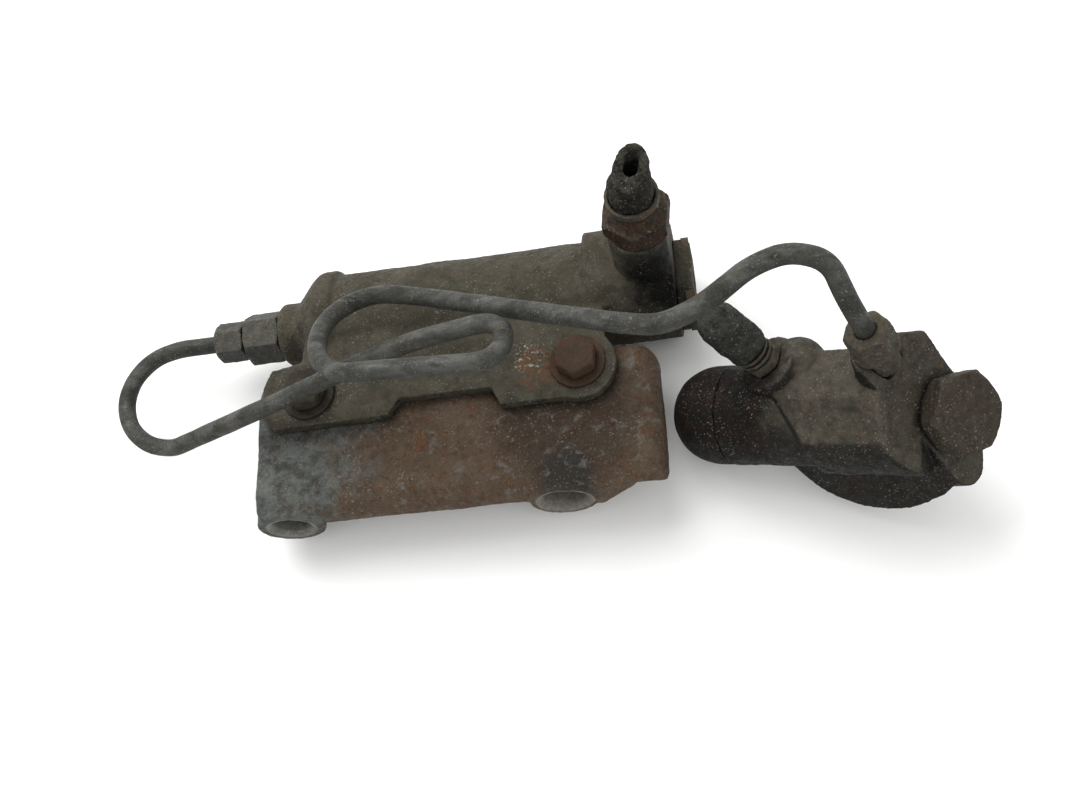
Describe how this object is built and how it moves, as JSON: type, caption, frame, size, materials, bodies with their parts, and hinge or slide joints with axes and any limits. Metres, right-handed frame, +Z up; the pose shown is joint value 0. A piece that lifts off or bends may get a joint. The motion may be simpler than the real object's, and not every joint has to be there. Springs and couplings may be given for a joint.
{
  "type": "hydraulic actuation set",
  "caption": "Corroded hydraulic actuation set: a feed cylinder on a cast bracket, a formed steel pipe with a pigtail coil and an angled slave cylinder.",
  "frame": {"origin": "on the axis of the bracket's right mounting hole, midway along its boss", "axes": "+X along the feed cylinder from its outlet to its end plate, -Y out of the front of the two mounting bosses, +Z up"},
  "size_m": [0.3061, 0.1102, 0.1019],
  "materials": {
    "bracket_iron": "rough cast, rusted",
    "feed_iron": "rough cast, oily",
    "slave_iron": "rough cast, oily",
    "pipe_steel": "dull zinc, scuffed",
    "fitting_steel": "dull, dusty",
    "rusty_steel": "rusted",
    "plug_steel": "dull, oxidised",
    "hose_rubber": "perished",
    "boot_rubber": "matt",
    "cap_rubber": "dusty",
    "seal_rubber": "matt",
    "seal_copper": "tarnished",
    "piston_alloy": "turned",
    "spring_steel": "drawn"
  },
  "bodies": {
    "housing": {"mounting_bracket": "bracket_iron", "feed_cylinder_body": "feed_iron", "end_plate": "feed_iron", "end_plate_screws": "rusty_steel", "flange_bolts": "rusty_steel", "flange_washers": "rusty_steel", "outlet_adapter": "fitting_steel", "outlet_tube_nut": "fitting_steel", "inlet_adapter": "rusty_steel", "inlet_seal_washer": "seal_copper", "hose_ferrule": "fitting_steel", "feed_hose_stub": "hose_rubber", "feed_stop_washer": "spring_steel", "feed_circlip": "spring_steel", "pressure_pipe": "pipe_steel", "slave_body": "slave_iron", "slave_boot": "boot_rubber", "end_plug": "plug_steel", "plug_seal_ring": "seal_copper", "slave_tube_nut": "fitting_steel"},
    "feed_piston": {"feed_piston": "piston_alloy", "feed_primary_cup": "seal_rubber", "feed_secondary_seal": "seal_rubber", "feed_spring_seat": "spring_steel", "feed_return_spring": "spring_steel"},
    "slave_piston": {"slave_piston": "piston_alloy", "slave_piston_seal": "seal_rubber", "slave_cup_seal": "seal_rubber", "slave_spring": "spring_steel"},
    "bleed_screw": {"bleed_screw": "fitting_steel"},
    "bleed_cap": {"bleed_cap": "cap_rubber"}
  },
  "joints": [
    {"name": "feed_piston_slide", "type": "slide", "parent": "housing", "child": "feed_piston", "axis": [-1, 0, 0], "range_m": [0, 0.02], "stiffness_N_per_m": 900, "springref_m": -0.012, "deforming": ["feed_return_spring"]},
    {"name": "slave_piston_slide", "type": "slide", "parent": "housing", "child": "slave_piston", "axis": [-0.8856, 0.2657, -0.3811], "range_m": [0, 0.01125], "deforming": ["slave_spring"]},
    {"name": "bleed_screw_turn", "type": "hinge", "parent": "housing", "child": "bleed_screw", "pos_m": [0.07134, 0.0152, 0.02912], "axis": [-0.5562, 0.2548, 0.791], "range_deg": [0, 270]},
    {"name": "bleed_cap_pull", "type": "slide", "parent": "bleed_screw", "child": "bleed_cap", "axis": [-0.5562, 0.2548, 0.791], "range_m": [0, 0.02]}
  ],
  "couplings": [
    {"joint": "slave_piston_slide", "follows": "feed_piston_slide", "ratio": 0.5625}
  ]
}
